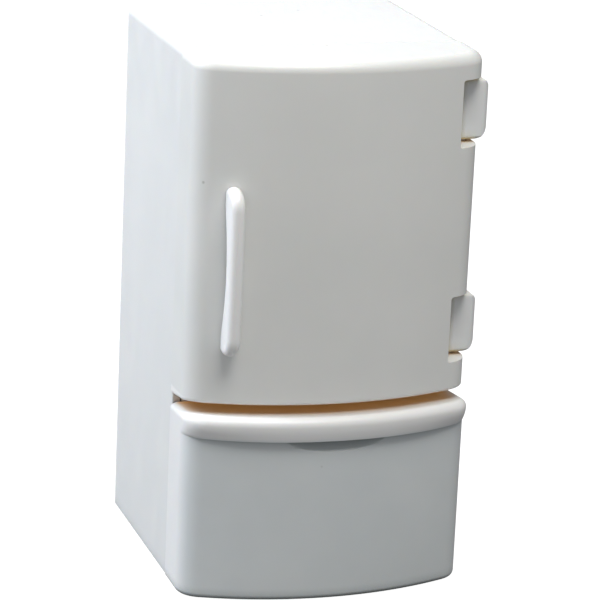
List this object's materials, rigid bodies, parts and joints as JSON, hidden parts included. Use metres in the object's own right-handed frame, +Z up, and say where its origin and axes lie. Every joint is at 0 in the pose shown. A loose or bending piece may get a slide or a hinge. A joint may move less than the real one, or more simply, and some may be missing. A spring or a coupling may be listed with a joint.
{
  "type": "toy refrigerator",
  "caption": "Doll's-house fridge with a bowed hinged door, bow handle and bottom freezer drawer; door, freezer drawer and crisper move.",
  "frame": {"origin": "centre of the cabinet's underside, on the surface it stands on", "axes": "+Z up, the door and drawer face -Y, +X is the hinge side (the viewer's right from in front)"},
  "size_m": [0.0671, 0.0702, 0.12],
  "materials": {
    "white_shell": "moulded white styrene, satin gloss",
    "liner": "moulded off-white, fine matt grain",
    "clear_plastic": "clear moulded styrene, faint blue",
    "pin_steel": "drawn wire",
    "screw_steel": "zinc plated"
  },
  "bodies": {
    "cabinet": {"cabinet_shell": "white_shell", "cabinet_liner": "liner", "rear_cover": "white_shell", "rear_cover_screw_1": "screw_steel", "rear_cover_screw_2": "screw_steel", "rear_cover_screw_3": "screw_steel", "rear_cover_screw_4": "screw_steel", "crisper_cover": "clear_plastic", "middle_shelf": "clear_plastic", "upper_shelf": "clear_plastic", "drawer_runner_left": "liner", "drawer_runner_right": "liner", "upper_hinge_knuckle": "white_shell", "lower_hinge_knuckle": "white_shell"},
    "crisper": {"crisper_drawer": "clear_plastic"},
    "door": {"door_shell": "white_shell", "door_liner": "liner", "door_handle": "white_shell", "bottle_bin": "clear_plastic", "middle_bin": "clear_plastic", "top_bin": "clear_plastic", "upper_hinge_pin": "pin_steel", "lower_hinge_pin": "pin_steel"},
    "drawer": {"drawer_front": "white_shell", "drawer_tub": "liner"}
  },
  "joints": [
    {"name": "door_hinge", "type": "hinge", "parent": "cabinet", "child": "door", "pos_m": [0.0299, -0.0303, 0.082], "axis": [0, 0, 1], "range_deg": [0, 100]},
    {"name": "freezer_drawer_slide", "type": "slide", "parent": "cabinet", "child": "drawer", "axis": [0, -1, 0], "range_m": [0, 0.032]},
    {"name": "crisper_slide", "type": "slide", "parent": "cabinet", "child": "crisper", "axis": [0, -1, 0], "range_m": [0, 0.006]}
  ]
}
